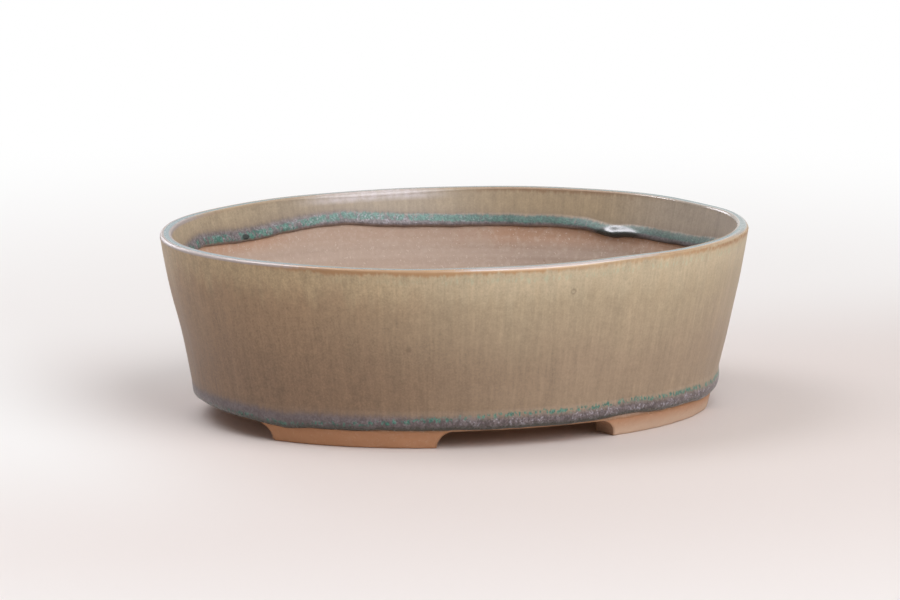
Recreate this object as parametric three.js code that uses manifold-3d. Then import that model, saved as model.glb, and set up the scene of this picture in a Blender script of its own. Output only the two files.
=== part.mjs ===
// Oval bonsai pot in glazed stoneware. Millimetres, +Z up.
// The origin is on the table under the middle of the pot, with +X along its length and -Y its front.
// The clay is built up as a potter does it: a rolled floor slab, a wall ring stood on the slab, a coil
// pressed into the corner inside, and four long feet underneath. The glaze lies on the clay as a coat.

import * as THREE from 'three';
import { mergeVertices } from 'three/addons/utils/BufferGeometryUtils.js';
import Module from 'manifold-3d';

// Overall size
const RIM_LENGTH = 300;
const RIM_WIDTH = 248;
const HEIGHT = 91.6;
// How far the sole lies inside the rim, all round
const SOLE_INSET = 19.6;

// Rim and wall, measured over the glaze at the rim and on the bare clay at the floor
const RIM_THICKNESS = 6;
const RIM_EDGE_RADIUS = 1.4;
const SMALLEST_EDGE_RADIUS = 0.2;
const WALL_BASE_THICKNESS = 7.5;

// Glaze coat, and the clearance between it and the clay
const GLAZE_THICKNESS = 0.5;
const GLAZE_CLEARANCE = 0.3;
// Depth of the rim band, where the glaze breaks thin over the edge
const RIM_BAND_DEPTH = 4;
// Glaze inside the rim: how far down it runs, and the roll it ends in
const INNER_BAND_DEPTH = 19;
const INNER_ROLL_HEIGHT = 7;
const INNER_ROLL_STAND = 1.2;
// Glaze at the foot of the wall: the bare edge below it, and the roll it gathers into
const BARE_EDGE = 0.7;
const BASE_ROLL_HEIGHT = 11.3;
const BASE_ROLL_STAND = 1.6;
// Both rolls sag: 1 puts the belly halfway up, and less puts it lower
const ROLL_SAG = 0.65;

// Floor slab and its holes
const FLOOR_THICKNESS = 8;
const DRAIN_DIAMETER = 22;
const DRAIN_SPACING = 116;
const WIRE_HOLE_DIAMETER = 5;
const WIRE_HOLE_SPACING_LONG = 64;
const WIRE_HOLE_SPACING_WIDE = 96;

// Coil in the corner between wall and floor
const COIL_SIZE = 9;
const COIL_CLEARANCE = 0.3;

// Feet: a strip that follows the oval, with coved gaps at the front, the back and both ends
const FOOT_HEIGHT = 8.5;
const FOOT_WIDTH = 14;
const FRONT_GAP = 92;
const END_GAP = 100;
// The cove is struck this much wider than the foot is high, so its upper edge stays crisp
const COVE_LIP = 0.5;

// Fineness of the curves
const OVAL_SEGMENTS = 72;
const EDGE_STEPS = 3;
const ROLL_STEPS = 6;
const COVE_STEPS = 6;
const HOLE_SEGMENTS = 32;

// Heights and half sizes that follow from these
const RIM_HALF_LENGTH = RIM_LENGTH / 2;
const OVAL_DIFFERENCE = (RIM_LENGTH - RIM_WIDTH) / 2;
const SHOULDER = HEIGHT - RIM_EDGE_RADIUS;
const FLOOR_TOP = FOOT_HEIGHT + FLOOR_THICKNESS;
const COAT = GLAZE_THICKNESS + GLAZE_CLEARANCE;
const BASE_ROLL_BOTTOM = FOOT_HEIGHT + BARE_EDGE;
const BASE_ROLL_TOP = BASE_ROLL_BOTTOM + BASE_ROLL_HEIGHT;
const RIM_BAND_BOTTOM = HEIGHT - RIM_BAND_DEPTH;
const INNER_ROLL_BOTTOM = HEIGHT - INNER_BAND_DEPTH;
const INNER_ROLL_TOP = INNER_ROLL_BOTTOM + INNER_ROLL_HEIGHT;

// Every profile point is [inset, height]: how far it lies inside the rim's outer oval, and its height.
// The outside tapers in a straight line from the rim's shoulder to the sole.
const outside = (z) => SOLE_INSET * (1 - z / SHOULDER);
const clayOutside = (z) => outside(z) + COAT;

// The inside of the clay runs from the rim's inner shoulder to the wall's thickness at the floor.
const clayInsideTop = RIM_THICKNESS - COAT;
const clayInsideBottom = clayOutside(FLOOR_TOP) + WALL_BASE_THICKNESS;
const clayInside = (z) =>
  clayInsideBottom + ((clayInsideTop - clayInsideBottom) * (z - FLOOR_TOP)) / (SHOULDER - FLOOR_TOP);

// The underside of the glaze, clear of the clay, and the face of the glaze inside the pot
const glazeBackOutside = (z) => clayOutside(z) - GLAZE_CLEARANCE;
const glazeBackInside = (z) => clayInside(z) + GLAZE_CLEARANCE;
const inside = (z) => clayInside(z) + COAT;

const steps = (count) => Array.from({ length: count + 1 }, (unused, i) => i / count);

// The rounded rim at a depth below its face, from the outer shoulder over the top to the inner one
function overTheRim(depth) {
  const radius = Math.max(RIM_EDGE_RADIUS - depth, SMALLEST_EDGE_RADIUS);
  const level = HEIGHT - depth - radius;
  const corner = (centre, from, to) =>
    steps(EDGE_STEPS).map((t) => {
      const angle = from + (to - from) * t;
      return [centre + radius * Math.cos(angle), level + radius * Math.sin(angle)];
    });
  const outer = corner(depth + radius, Math.PI, Math.PI / 2);
  const inner = corner(RIM_THICKNESS - depth - radius, Math.PI / 2, 0);
  return [...outer, ...inner];
}

// The belly of a glaze roll: nothing at its two edges, and fullest below the middle
function rollFace(face, bottom, height, stand) {
  return steps(ROLL_STEPS).map((t) => {
    const z = bottom + height * t;
    return [face(z) + stand * Math.sin(Math.PI * t ** ROLL_SAG), z];
  });
}

// A body whose section is swept round the oval. A closed section goes up its outer side and down its
// inner side. A section that starts and ends on the axis makes a solid plate.
function sweepOval(section, onAxis = false) {
  const points = section.map(([inset, z]) => new THREE.Vector2(RIM_HALF_LENGTH - inset, z));
  const first = points[0];
  const last = points[points.length - 1];
  const closed = onAxis
    ? [new THREE.Vector2(0, first.y), ...points, new THREE.Vector2(0, last.y)]
    : [...points, first.clone()];
  const geometry = new THREE.LatheGeometry(closed, OVAL_SEGMENTS);
  geometry.rotateX(Math.PI / 2);
  const position = geometry.attributes.position;
  for (let i = 0; i < position.count; i += 1) {
    const x = position.getX(i);
    const y = position.getY(i);
    const radius = Math.hypot(x, y);
    if (radius > OVAL_DIFFERENCE) {
      position.setY(i, (y * (radius - OVAL_DIFFERENCE)) / radius);
    }
  }
  return geometry;
}

// Joining and cutting of closed bodies
const wasm = await Module();
wasm.setup();

function solidOf(geometry) {
  const bare = geometry.clone();
  bare.deleteAttribute('normal');
  bare.deleteAttribute('uv');
  const merged = mergeVertices(bare);
  const index = merged.index.array;
  const triangles = [];
  for (let i = 0; i < index.length; i += 3) {
    const [a, b, c] = [index[i], index[i + 1], index[i + 2]];
    if (a !== b && b !== c && c !== a) {
      triangles.push(a, b, c);
    }
  }
  return new wasm.Manifold(
    new wasm.Mesh({
      numProp: 3,
      vertProperties: new Float32Array(merged.attributes.position.array),
      triVerts: new Uint32Array(triangles),
    }),
  );
}

function geometryOf(solid) {
  const mesh = solid.getMesh();
  const geometry = new THREE.BufferGeometry();
  geometry.setAttribute('position', new THREE.BufferAttribute(mesh.vertProperties, mesh.numProp));
  geometry.setIndex(new THREE.BufferAttribute(mesh.triVerts, 1));
  geometry.computeVertexNormals();
  return geometry;
}

// Floor slab: an oval plate whose edge carries on the taper of the wall, with two drain holes on the
// long axis and four small holes for the wires that hold a tree
function floorSlab() {
  const plate = sweepOval(
    [
      [clayOutside(FOOT_HEIGHT), FOOT_HEIGHT],
      [clayOutside(FLOOR_TOP), FLOOR_TOP],
    ],
    true,
  );
  const middle = (FOOT_HEIGHT + FLOOR_TOP) / 2;
  const drill = (diameter, x, y) => {
    const hole = new THREE.CylinderGeometry(diameter / 2, diameter / 2, 2 * FLOOR_THICKNESS, HOLE_SEGMENTS);
    hole.rotateX(Math.PI / 2);
    hole.translate(x, y, middle);
    return solidOf(hole);
  };
  let slab = solidOf(plate);
  for (const side of [-1, 1]) {
    slab = slab.subtract(drill(DRAIN_DIAMETER, (side * DRAIN_SPACING) / 2, 0));
    for (const end of [-1, 1]) {
      const x = (end * WIRE_HOLE_SPACING_LONG) / 2;
      const y = (side * WIRE_HOLE_SPACING_WIDE) / 2;
      slab = slab.subtract(drill(WIRE_HOLE_DIAMETER, x, y));
    }
  }
  return geometryOf(slab);
}

// Wall ring: it stands on the slab and thins towards the rim
function wallRing() {
  return sweepOval([
    [clayOutside(FLOOR_TOP), FLOOR_TOP],
    ...overTheRim(COAT),
    [clayInside(FLOOR_TOP), FLOOR_TOP],
  ]);
}

// Corner coil: pressed into the corner inside and smoothed to a hollow curve
function cornerCoil() {
  const back = (z) => clayInside(z) + COIL_CLEARANCE;
  const top = FLOOR_TOP + COIL_SIZE;
  const toe = back(FLOOR_TOP) + COIL_SIZE;
  const face = steps(EDGE_STEPS).map((t) => {
    const angle = (Math.PI / 2) * t;
    const inset = toe + (back(top) - toe) * Math.cos(angle);
    return [inset, top - COIL_SIZE * Math.sin(angle)];
  });
  return sweepOval([[back(FLOOR_TOP), FLOOR_TOP], ...face]);
}

// The gap beside one end of a foot: square to the oval there, with a coved upper corner.
// point lies on the sole's outer edge, and into points along that edge, away from the foot.
function gapCutter(point, into, halfGap) {
  const cove = FOOT_HEIGHT + COVE_LIP;
  const reach = halfGap + FOOT_WIDTH + cove;
  const outline = new THREE.Shape();
  outline.moveTo(0, -FOOT_HEIGHT);
  outline.lineTo(0, 0);
  outline.absarc(cove, 0, cove, Math.PI, Math.PI / 2, true);
  outline.lineTo(reach, cove);
  outline.lineTo(reach, -FOOT_HEIGHT);
  outline.closePath();
  const cutter = new THREE.ExtrudeGeometry(outline, {
    depth: 2 * reach,
    bevelEnabled: false,
    curveSegments: COVE_STEPS,
  });
  cutter.translate(0, 0, -reach);
  const up = new THREE.Vector3(0, 0, 1);
  const across = new THREE.Vector3().crossVectors(into, up);
  const placed = new THREE.Matrix4().makeBasis(into, up, across);
  placed.setPosition(point);
  cutter.applyMatrix4(placed);
  return solidOf(cutter);
}

// One foot of the four, in the quarter given by the signs of x and y
function foot(signX, signY) {
  const strip = sweepOval([
    [clayOutside(0), 0],
    [clayOutside(FOOT_HEIGHT), FOOT_HEIGHT],
    [clayOutside(FOOT_HEIGHT) + FOOT_WIDTH, FOOT_HEIGHT],
    [clayOutside(0) + FOOT_WIDTH, 0],
  ]);
  const quarter = new THREE.BoxGeometry(RIM_LENGTH, RIM_WIDTH, 4 * FOOT_HEIGHT);
  quarter.translate((signX * RIM_LENGTH) / 2, (signY * RIM_WIDTH) / 2, 0);

  const halfLength = RIM_HALF_LENGTH - clayOutside(0);
  const halfWidth = halfLength - OVAL_DIFFERENCE;
  const end = (x, y, towards) => {
    const point = new THREE.Vector3(signX * x, signY * y, 0);
    const outward = new THREE.Vector3(point.x / halfLength ** 2, point.y / halfWidth ** 2, 0).normalize();
    const into = new THREE.Vector3(-outward.y, outward.x, 0);
    if (into.dot(towards) < 0) {
      into.negate();
    }
    return { point, into };
  };
  const onOval = (share) => Math.sqrt(1 - share * share);
  const frontX = FRONT_GAP / 2;
  const endY = END_GAP / 2;
  const front = end(frontX, halfWidth * onOval(frontX / halfLength), new THREE.Vector3(-signX, 0, 0));
  const side = end(halfLength * onOval(endY / halfWidth), endY, new THREE.Vector3(0, -signY, 0));
  const body = solidOf(strip)
    .intersect(solidOf(quarter))
    .subtract(gapCutter(front.point, front.into, frontX))
    .subtract(gapCutter(side.point, side.into, endY));
  return geometryOf(body);
}

// Rim glaze: a cap over the rim, down to the foot of the rim band on both sides
function rimGlaze() {
  return sweepOval([
    [outside(RIM_BAND_BOTTOM), RIM_BAND_BOTTOM],
    ...overTheRim(0),
    [inside(RIM_BAND_BOTTOM), RIM_BAND_BOTTOM],
    [glazeBackInside(RIM_BAND_BOTTOM), RIM_BAND_BOTTOM],
    ...overTheRim(GLAZE_THICKNESS).reverse(),
    [glazeBackOutside(RIM_BAND_BOTTOM), RIM_BAND_BOTTOM],
  ]);
}

// Outer glaze: the coat on the wall between the rim band and the roll at its foot
function outerGlaze() {
  return sweepOval([
    [outside(BASE_ROLL_TOP), BASE_ROLL_TOP],
    [outside(RIM_BAND_BOTTOM), RIM_BAND_BOTTOM],
    [glazeBackOutside(RIM_BAND_BOTTOM), RIM_BAND_BOTTOM],
    [glazeBackOutside(BASE_ROLL_TOP), BASE_ROLL_TOP],
  ]);
}

// Base glaze roll: where the running glaze gathered round the foot of the wall
function baseGlazeRoll() {
  return sweepOval([
    ...rollFace(outside, BASE_ROLL_BOTTOM, BASE_ROLL_HEIGHT, -BASE_ROLL_STAND),
    [glazeBackOutside(BASE_ROLL_TOP), BASE_ROLL_TOP],
    [glazeBackOutside(BASE_ROLL_BOTTOM), BASE_ROLL_BOTTOM],
  ]);
}

// Inner glaze: the coat inside, between the rim band and the roll it ends in
function innerGlaze() {
  return sweepOval([
    [glazeBackInside(INNER_ROLL_TOP), INNER_ROLL_TOP],
    [glazeBackInside(RIM_BAND_BOTTOM), RIM_BAND_BOTTOM],
    [inside(RIM_BAND_BOTTOM), RIM_BAND_BOTTOM],
    [inside(INNER_ROLL_TOP), INNER_ROLL_TOP],
  ]);
}

// Inner glaze roll: the thick lower edge of the glaze inside
function innerGlazeRoll() {
  return sweepOval([
    [glazeBackInside(INNER_ROLL_BOTTOM), INNER_ROLL_BOTTOM],
    [glazeBackInside(INNER_ROLL_TOP), INNER_ROLL_TOP],
    ...rollFace(inside, INNER_ROLL_BOTTOM, INNER_ROLL_HEIGHT, INNER_ROLL_STAND).reverse(),
  ]);
}

// Finishes
const finish = (color, roughness) => new THREE.MeshStandardMaterial({ color, roughness, metalness: 0 });
const footClay = finish(0xa5784f, 0.85);
const insideClay = finish(0xa98a72, 0.9);
const oliveGlaze = finish(0x8d7b5e, 0.45);
const rimGlazeFinish = finish(0x9a8562, 0.3);
const rollGlaze = finish(0x55605c, 0.25);

// Assembly
const pot = new THREE.Group();
const clayBody = new THREE.Group();
const glazeCoat = new THREE.Group();
pot.add(clayBody, glazeCoat);

function addPiece(group, name, geometry, material) {
  const piece = new THREE.Mesh(geometry, material);
  piece.name = name;
  group.add(piece);
}

addPiece(clayBody, 'floor_slab', floorSlab(), insideClay);
addPiece(clayBody, 'wall_ring', wallRing(), insideClay);
addPiece(clayBody, 'corner_coil', cornerCoil(), insideClay);
for (const [place, signY] of [['front', -1], ['back', 1]]) {
  for (const [side, signX] of [['left', -1], ['right', 1]]) {
    addPiece(clayBody, `foot_${place}_${side}`, foot(signX, signY), footClay);
  }
}
addPiece(glazeCoat, 'rim_glaze', rimGlaze(), rimGlazeFinish);
addPiece(glazeCoat, 'outer_glaze', outerGlaze(), oliveGlaze);
addPiece(glazeCoat, 'base_glaze_roll', baseGlazeRoll(), rollGlaze);
addPiece(glazeCoat, 'inner_glaze', innerGlaze(), oliveGlaze);
addPiece(glazeCoat, 'inner_glaze_roll', innerGlazeRoll(), rollGlaze);

export default pot;
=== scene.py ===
# %% [markdown]
# # An oval bonsai pot in glazed stoneware
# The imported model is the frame: twelve plain solids with the right sizes. This lesson keeps every solid's
# place and gives each piece the shape that hands, fire and running glaze leave on a real pot. All sums are
# in millimetres, because a potter thinks in them, and only the finished meshes are turned into metres.

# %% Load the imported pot
import math
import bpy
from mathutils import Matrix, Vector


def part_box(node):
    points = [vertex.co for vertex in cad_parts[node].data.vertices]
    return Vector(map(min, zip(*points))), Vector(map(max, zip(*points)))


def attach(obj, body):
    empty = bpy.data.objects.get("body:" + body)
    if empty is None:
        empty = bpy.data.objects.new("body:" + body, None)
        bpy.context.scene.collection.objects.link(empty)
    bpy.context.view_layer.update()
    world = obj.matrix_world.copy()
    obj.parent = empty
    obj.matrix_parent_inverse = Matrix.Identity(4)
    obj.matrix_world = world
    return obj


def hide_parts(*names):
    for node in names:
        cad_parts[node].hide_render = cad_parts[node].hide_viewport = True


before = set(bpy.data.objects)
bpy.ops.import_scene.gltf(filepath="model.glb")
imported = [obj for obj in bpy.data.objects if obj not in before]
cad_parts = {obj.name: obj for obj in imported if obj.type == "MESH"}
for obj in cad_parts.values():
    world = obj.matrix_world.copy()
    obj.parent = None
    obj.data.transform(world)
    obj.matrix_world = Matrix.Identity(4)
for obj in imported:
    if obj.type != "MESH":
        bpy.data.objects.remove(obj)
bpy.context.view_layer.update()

from types import SimpleNamespace

import bpy
import numpy as np
from mathutils import Vector
from mathutils.geometry import delaunay_2d_cdt

MM = 0.001


def box_mm(node):
    """Lowest and highest corner of a solid, in millimetres."""
    low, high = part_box(node)
    return np.array(low) / MM, np.array(high) / MM


print("solids in the frame:", len(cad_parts))

# %% [markdown]
# ## The pot's own measures
# A pot is an oval drawn smaller and smaller towards its foot. So one number says where a point of the wall
# is: its inset, the distance in from the rim's outer edge. The boxes of the solids give the two straight
# lines of the wall, outside and inside, as insets at two heights. Reading them from the frame, and not
# writing them down again, keeps the look and the solids together when a size is changed. In the frame the
# glaze stands off the clay by a small gap. Here it lies on the clay, and a seat of a hair's breadth keeps
# two faces from sharing one place.

# %% Heights from the frame
rim_low, rim_high = box_mm("rim_glaze")
base_low, base_high = box_mm("base_glaze_roll")
sill_low, sill_high = box_mm("inner_glaze_roll")
slab_low, slab_high = box_mm("floor_slab")
coat_high = box_mm("outer_glaze")[1]
wall_high = box_mm("wall_ring")[1]
lining_high = box_mm("inner_glaze")[1]

HALF_LENGTH, HALF_WIDTH, HEIGHT = rim_high
RIM_BAND_FOOT = rim_low[2]
BASE_ROLL_TOP = base_high[2]
BASE_ROLL_FOOT = base_low[2]
SILL_TOP = sill_high[2]
SILL_FOOT = sill_low[2]
SLAB_TOP = slab_high[2]
SLAB_UNDER = slab_low[2]
COAT = HALF_LENGTH - wall_high[0]
SOLID_GAP = 0.3
SEAT = 0.05
print(f"oval {2 * HALF_LENGTH:.0f} x {2 * HALF_WIDTH:.0f} x {HEIGHT:.0f} mm")


# %% The two lines of the wall
def straight(z0, inset0, z1, inset1):
    """The straight line of insets through two heights."""
    return lambda z: inset0 + (inset1 - inset0) * (np.asarray(z, float) - z0) / (z1 - z0)


clay_outside = straight(
    SLAB_TOP, HALF_LENGTH - slab_high[0],
    RIM_BAND_FOOT, HALF_LENGTH - coat_high[0] + COAT,
)
clay_inside = straight(
    SILL_TOP, HALF_LENGTH - sill_high[0] - SOLID_GAP,
    RIM_BAND_FOOT, HALF_LENGTH - lining_high[0] - SOLID_GAP,
)


def outside(z):
    """Inset of the glazed outer face."""
    return clay_outside(z) - COAT


def inside(z):
    """Inset of the glazed inner face."""
    return clay_inside(z) + COAT


outer_corner = RIM_BAND_FOOT + outside(RIM_BAND_FOOT) / (outside(0.0) - outside(1.0))
print(f"rim {inside(outer_corner):.1f} mm thick, glaze {COAT:.1f} mm")

# %% [markdown]
# ## Columns round the oval
# Every ring of the pot could be spun and then squashed, but a squashed spin would also squash the wall's
# thickness. Here each ring is a grid: one column for every half degree, and in each column the same loop of
# points up one side and down the other. The grid makes it easy to let a line wander, because inset and
# height are arrays that can differ from column to column. Two helpers make such arrays: ripples are even
# waves all round, and sways are single swells at a given place.

# %% Waves round the oval
COLUMNS = 720
AROUND = np.linspace(0.0, 2.0 * math.pi, COLUMNS, endpoint=False)
print("columns round the oval:", COLUMNS)


def ripple(angle, waves):
    """A sum of even waves round the oval, each given as (count, size, start)."""
    return sum(size * np.sin(count * angle + start) for count, size, start in waves)


def degrees_from(angle, place):
    """How far an angle lies from a place in degrees, between -180 and 180."""
    return (np.degrees(angle) - place + 180.0) % 360.0 - 180.0


def sway(angle, lobes):
    """A soft swell or dip at each (place in degrees, half width in degrees, size)."""
    return sum(size * np.exp(-(degrees_from(angle, place) / width) ** 2) for place, width, size in lobes)


# %% The unevenness that the hand leaves
HAND_SWELLS = ((4, 0.12, 0.0), (6, 0.09, 0.0), (11, 0.05, 0.0))
HAND_LIFTS = ((2, 0.12, 0.0), (7, 0.09, 0.5), (13, 0.05, 1.1))
RIM_LIFTS = (
    (12.0, 14.0, -1.1), (150.0, 14.0, 0.3), (168.0, 9.0, -0.35), (230.0, 16.0, -0.32),
    (247.0, 9.0, -0.4), (266.0, 13.0, -0.2), (290.0, 10.0, 0.75),
)
SHORT_END = ((345.0, 25.0, -0.9),)
LIFT_POWER = 2
END_POWER = 8


def hand_made(x, y, z):
    """Points moved by the pot's unevenness, which is the same for all pieces, so that they still meet."""
    angle = np.arctan2(y / HALF_WIDTH, x / HALF_LENGTH)
    share = np.clip(z / HEIGHT, 0.0, 1.0)
    out = share * ripple(angle, HAND_SWELLS) + share**END_POWER * sway(angle, SHORT_END)
    lift = share**LIFT_POWER * (ripple(angle, HAND_LIFTS) + sway(angle, RIM_LIFTS))
    return np.stack((x + out * np.cos(angle), y + out * np.sin(angle), z + lift), axis=-1)


rim_lift = ripple(AROUND, HAND_LIFTS) + sway(AROUND, RIM_LIFTS)
print(f"the rim rises and falls from {rim_lift.min():.1f} to {rim_lift.max():.1f} mm")


# %% Meshes and what their points keep
def make_piece(name, points, faces, crease=38.0):
    """A smooth mesh object from points in millimetres, sharp where it turns more than crease degrees."""
    mesh = bpy.data.meshes.new(name)
    mesh.from_pydata((np.asarray(points) * MM).tolist(), [], [list(face) for face in faces])
    mesh.validate()
    mesh.shade_smooth()
    mesh.set_sharp_from_angle(angle=math.radians(crease))
    piece = bpy.data.objects.new(name, mesh)
    bpy.context.scene.collection.objects.link(piece)
    print(f"{name}: {len(points)} points")
    return piece


def keep_number(piece, name, values):
    """Stores one number on each point of a piece, for the finish to read."""
    layer = piece.data.attributes.new(name, "FLOAT", "POINT")
    layer.data.foreach_set("value", values.astype(np.float32).ravel())


# %% Rings as meshes
def ring_faces(row_count, column_count):
    """Quads over a grid that closes on itself both ways."""
    row, column = np.meshgrid(np.arange(row_count), np.arange(column_count), indexing="ij")
    row_up, column_on = (row + 1) % row_count, (column + 1) % column_count
    corners = (
        row * column_count + column,
        row * column_count + column_on,
        row_up * column_count + column_on,
        row_up * column_count + column,
    )
    return np.stack(corners, axis=-1).reshape(-1, 4).tolist()


def swept_ring(name, inset, height):
    """A closed ring piece from insets and heights, both as rows by columns."""
    x = (HALF_LENGTH - inset) * np.cos(AROUND)
    y = (HALF_WIDTH - inset) * np.sin(AROUND)
    return make_piece(name, hand_made(x, y, height).reshape(-1, 3), ring_faces(*inset.shape))


def rows(*values):
    """Numbers, or arrays round the oval, as rows of a section loop."""
    return np.stack([np.broadcast_to(np.asarray(v, float), (COLUMNS,)) for v in values])


# %% [markdown]
# ## The clay wall
# The wall is one ring of coarse clay that stands on the floor slab. Its outside lies under the glaze, so it
# needs few rows. Inside, bare clay shows from the glaze line down: faint level ridges are left there by the
# rib that smoothed it. A bump in the finish could draw them. Here they are real geometry, less than a third
# of a millimetre high, so that a low light still finds them.

# %% Inner face with the ridges of a rib
SHOULDER_DROP = 2.3
CLAY_SHOULDER = HEIGHT - SHOULDER_DROP
RIB_ROWS = 84
RIB_SWAYS = ((2, 1.1, 0.3), (5, 0.5, 1.4))
RIB_MARKS = ((0.10, 0.9, 0.0, 0.0), (0.06, 2.3, 0.8, 0.0), (0.12, 0.31, 0.0, 3.0))
RIB_BENDS = 3
RIB_FADE = 6.0
rib_height = np.linspace(CLAY_SHOULDER, SLAB_TOP, RIB_ROWS)[:, None]
rib_drift = rib_height + ripple(AROUND, RIB_SWAYS)
rib_marks = sum(
    depth * np.sin(rib_drift * pitch + start + bend * np.sin(RIB_BENDS * AROUND))
    for depth, pitch, start, bend in RIB_MARKS
)
bare_share = np.clip((SILL_FOOT - rib_height) / RIB_FADE, 0.0, 1.0)
wall_inner = clay_inside(rib_height) + bare_share * rib_marks
print(f"ridges up to {np.abs(bare_share * rib_marks).max():.2f} mm")

# %% Wall ring
CLAY_EDGE = HEIGHT - COAT - CLAY_SHOULDER
EDGE_TURNS = (15.0, 45.0, 75.0)
OUTER_ROWS = 8
edge_turn = np.radians(EDGE_TURNS)
outer_edge = clay_outside(CLAY_SHOULDER) + CLAY_EDGE * (1.0 - np.cos(edge_turn))
inner_edge = clay_inside(CLAY_SHOULDER) - CLAY_EDGE * (1.0 - np.sin(edge_turn))
edge_rise = CLAY_SHOULDER + CLAY_EDGE * np.sin(edge_turn)
edge_fall = CLAY_SHOULDER + CLAY_EDGE * np.cos(edge_turn)
outer_levels = np.linspace(SLAB_TOP, CLAY_SHOULDER, OUTER_ROWS)

wall = swept_ring(
    "clay_wall",
    rows(*clay_outside(outer_levels), *outer_edge, *inner_edge, *wall_inner),
    rows(*outer_levels, *edge_rise, *edge_fall, *rib_height),
)
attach(wall, "root")
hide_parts("wall_ring")

# %% [markdown]
# ## The coil in the corner
# A potter seals the joint of wall and floor with a soft coil and smears it flat with a thumb. That leaves a
# hollow fillet with one shallow dent beside the next. A bevel on the wall would be smooth; a ring of its own
# with a dented face looks like the thumb's work.

# %% Corner coil
COIL_SIZE = box_mm("corner_coil")[1][2] - SLAB_TOP
COIL_DEEP = 1.02 * COIL_SIZE
COIL_TALL = 0.97 * COIL_DEEP
COIL_LIP = 0.12
COIL_ROWS = 12
COIL_BACK_ROWS = 4
THUMB_MARKS = 64
THUMB_DRIFT = ((3, 0.9, 0.2), (7, 0.4, 1.0))
THUMB_DEPTH = 0.45
coil_turn = np.linspace(0.0, 0.5 * math.pi, COIL_ROWS)[:, None]
thumb = np.abs(np.sin(0.5 * THUMB_MARKS * AROUND + ripple(AROUND, THUMB_DRIFT)))
dent = THUMB_DEPTH * np.sin(2.0 * coil_turn) * (thumb - 0.5)
coil_height = SLAB_TOP + SEAT + COIL_TALL * (1.0 - np.sin(coil_turn)) + 0.5 * dent
coil_out = SEAT + COIL_DEEP * (1.0 - np.cos(coil_turn)) + dent + COIL_LIP
coil_back = np.linspace(SLAB_TOP + SEAT, coil_height[0].min(), COIL_BACK_ROWS)
coil = swept_ring(
    "corner_coil_smear",
    rows(*(clay_inside(coil_back) + SEAT), *(clay_inside(coil_height) + coil_out)),
    rows(*coil_back, *coil_height),
)
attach(coil, "root")
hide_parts("corner_coil")

# %% [markdown]
# ## The floor slab
# The floor is a rolled slab with two drain holes and four small holes for the wires that hold a tree. Holes
# cut in soft clay have soft edges. Cutting with booleans leaves ragged shading, so the flat faces are filled
# by Delaunay between the oval, the hole edges and a loose grid of points, and each hole is a stack of
# circles that rounds over into the flat face. The grid points move up and down a little, as rolled clay
# does.

# %% Holes and outlines of the slab
DRAIN_RADIUS = 11.0
DRAIN_SPACING = 116.0
WIRE_RADIUS = 2.5
WIRE_LONG = 64.0
WIRE_WIDE = 96.0
HOLE_POINTS = 40
HOLE_LOBES = 3
HOLE_WOBBLE = 0.03
SLAB_POINTS = 240
SIDES = (-1, 1)
slab_holes = [(x * DRAIN_SPACING / 2.0, 0.0, DRAIN_RADIUS) for x in SIDES]
slab_holes += [(x * WIRE_LONG / 2.0, y * WIRE_WIDE / 2.0, WIRE_RADIUS) for x in SIDES for y in SIDES]
slab_angle = np.linspace(0.0, 2.0 * math.pi, SLAB_POINTS, endpoint=False)
hole_angle = np.linspace(0.0, 2.0 * math.pi, HOLE_POINTS, endpoint=False)


def slab_loop(inset):
    """The slab's outline at one inset."""
    x = (HALF_LENGTH - inset) * np.cos(slab_angle)
    y = (HALF_WIDTH - inset) * np.sin(slab_angle)
    return np.stack((x, y), axis=-1)


def hole_loop(hole, extra):
    """One circle of a hole, wider than its bore by a little extra and not quite round."""
    x, y, radius = hole
    wide = radius + extra + HOLE_WOBBLE * radius * np.sin(HOLE_LOBES * hole_angle + x)
    return np.stack((x + wide * np.cos(hole_angle), y + wide * np.sin(hole_angle)), axis=-1)


print("holes in the floor:", len(slab_holes))

# %% Loose points on a flat face
GRID_STEP = 5.5
GRID_SHIFT = 0.25 * GRID_STEP
GRID_BEND = 1.7
RIM_CLEAR = 3.0
HOLE_CLEAR = 2.0
BROAD_SWELL = 0.12
BROAD_PITCH = (0.11, 0.13)
BROAD_START = (0.6, 1.2)
FINE_SWELL = 0.06
FINE_PITCH = (0.31, 0.24)


def rolled(xy):
    """Height of the rolled face over its level: broad swells, with fine ones across them."""
    broad = np.sin(xy * BROAD_PITCH + BROAD_START).prod(axis=1)
    fine = np.sin((xy * FINE_PITCH).sum(axis=1))
    return BROAD_SWELL * broad + FINE_SWELL * fine


def loose_grid(outline, loops):
    """Points spread over a face, clear of its outline and of its holes."""
    span = np.arange(-HALF_LENGTH, HALF_LENGTH, GRID_STEP)
    grid = np.stack(np.meshgrid(span, span), axis=-1).reshape(-1, 2)
    grid[:, 0] += GRID_SHIFT * np.sin(grid[:, 1] * GRID_BEND)
    reach = np.abs(outline).max(axis=0) - RIM_CLEAR
    keep = ((grid / reach) ** 2).sum(axis=1) < 1.0
    for loop in loops:
        centre = loop.mean(axis=0)
        bore = np.linalg.norm(loop - centre, axis=1).max()
        keep &= np.linalg.norm(grid - centre, axis=1) > bore + HOLE_CLEAR
    return grid[keep]


# %% Flat faces of the slab
SAME_POINT = 1e-6


def in_hole(point, loop):
    """Whether a point lies within the circle of a hole."""
    centre = loop.mean(axis=0)
    return np.linalg.norm(point - centre) < np.linalg.norm(loop[0] - centre)


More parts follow.
